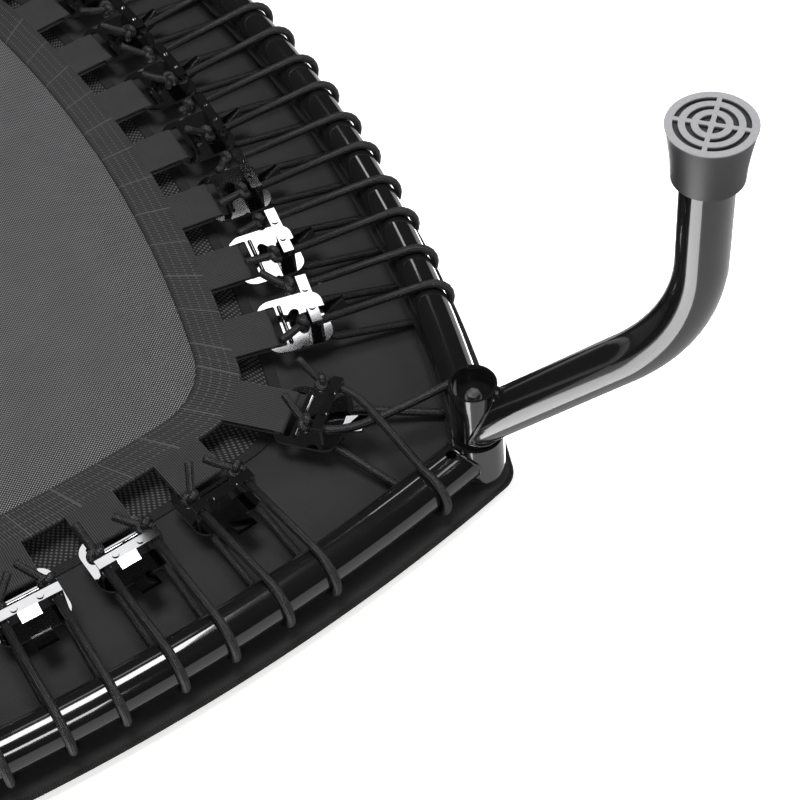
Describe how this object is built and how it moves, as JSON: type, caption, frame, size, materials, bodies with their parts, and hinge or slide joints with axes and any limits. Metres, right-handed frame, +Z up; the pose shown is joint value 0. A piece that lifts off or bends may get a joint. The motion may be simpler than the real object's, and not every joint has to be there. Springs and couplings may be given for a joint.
{
  "type": "mini trampoline",
  "caption": "Low rebounder with a bowed square tube frame, splayed plug-in legs, rubber feet and a mesh jumping mat held by shock cords under a padded cover.",
  "frame": {"origin": "on the floor under the middle of the mat, as it stands in use", "axes": "+Z up; +X and +Y point at the middles of two sides, and the corners stand between them"},
  "size_m": [1.266, 1.266, 0.44],
  "materials": {
    "frame_tube": "gloss black powder coat",
    "leg_tube": "gloss black powder coat",
    "fastener": "zinc plated",
    "foot_rubber": "moulded, satin",
    "mat_mesh": "woven mesh",
    "mat_webbing": "ribbed webbing",
    "clip_plate": "bright plated sheet",
    "rivet": "bright plated",
    "shock_cord": "braided sleeve",
    "cover_cloth": "twill weave",
    "cover_mesh": "open spacer mesh",
    "cover_binding": "woven tape"
  },
  "bodies": {
    "frame": {"side_tube_1": "frame_tube", "side_tube_2": "frame_tube", "side_tube_3": "frame_tube", "side_tube_4": "frame_tube", "corner_post_1": "frame_tube", "corner_post_2": "frame_tube", "corner_post_3": "frame_tube", "corner_post_4": "frame_tube", "post_caps": "frame_tube", "weld_nuts": "fastener", "leg_bolt_1": "fastener", "leg_bolt_2": "fastener", "leg_bolt_3": "fastener", "leg_bolt_4": "fastener", "leg_washer_1": "fastener", "leg_washer_2": "fastener", "leg_washer_3": "fastener", "leg_washer_4": "fastener", "cover_pad": "cover_cloth", "cover_rim": "cover_mesh", "cover_binding": "cover_binding", "cords_side_1": "shock_cord", "cords_side_2": "shock_cord", "cords_side_3": "shock_cord", "cords_side_4": "shock_cord", "cords_corner": "shock_cord"},
    "mat": {"mat_panel": "mat_mesh", "mat_border": "mat_webbing", "mat_straps": "mat_webbing", "clips_side_1": "clip_plate", "clips_side_2": "clip_plate", "clips_side_3": "clip_plate", "clips_side_4": "clip_plate", "clips_corner": "clip_plate", "clip_rivets": "rivet"},
    "leg_1": {"leg_sleeve_1": "leg_tube", "leg_arm_1": "leg_tube", "leg_plate_1": "leg_tube", "leg_foot_1": "foot_rubber"},
    "leg_2": {"leg_sleeve_2": "leg_tube", "leg_arm_2": "leg_tube", "leg_plate_2": "leg_tube", "leg_foot_2": "foot_rubber"},
    "leg_3": {"leg_sleeve_3": "leg_tube", "leg_arm_3": "leg_tube", "leg_plate_3": "leg_tube", "leg_foot_3": "foot_rubber"},
    "leg_4": {"leg_sleeve_4": "leg_tube", "leg_arm_4": "leg_tube", "leg_plate_4": "leg_tube", "leg_foot_4": "foot_rubber"}
  },
  "joints": [
    {"name": "mat_bounce", "type": "slide", "parent": "frame", "child": "mat", "axis": [0, 0, -1], "range_m": [0, 0.12], "stiffness_N_per_m": 10000, "springref_m": -0.004, "deforming": ["cords_side_1", "cords_side_2", "cords_side_3", "cords_side_4", "cords_corner"]},
    {"name": "leg_swivel_1", "type": "hinge", "parent": "frame", "child": "leg_1", "pos_m": [0.4773, 0.4773, 0.37], "axis": [0, 0, 1], "range_deg": [-90, 90]},
    {"name": "leg_swivel_2", "type": "hinge", "parent": "frame", "child": "leg_2", "pos_m": [-0.4773, 0.4773, 0.37], "axis": [0, 0, 1], "range_deg": [-90, 90]},
    {"name": "leg_swivel_3", "type": "hinge", "parent": "frame", "child": "leg_3", "pos_m": [-0.4773, -0.4773, 0.37], "axis": [0, 0, 1], "range_deg": [-90, 90]},
    {"name": "leg_swivel_4", "type": "hinge", "parent": "frame", "child": "leg_4", "pos_m": [0.4773, -0.4773, 0.37], "axis": [0, 0, 1], "range_deg": [-90, 90]}
  ]
}
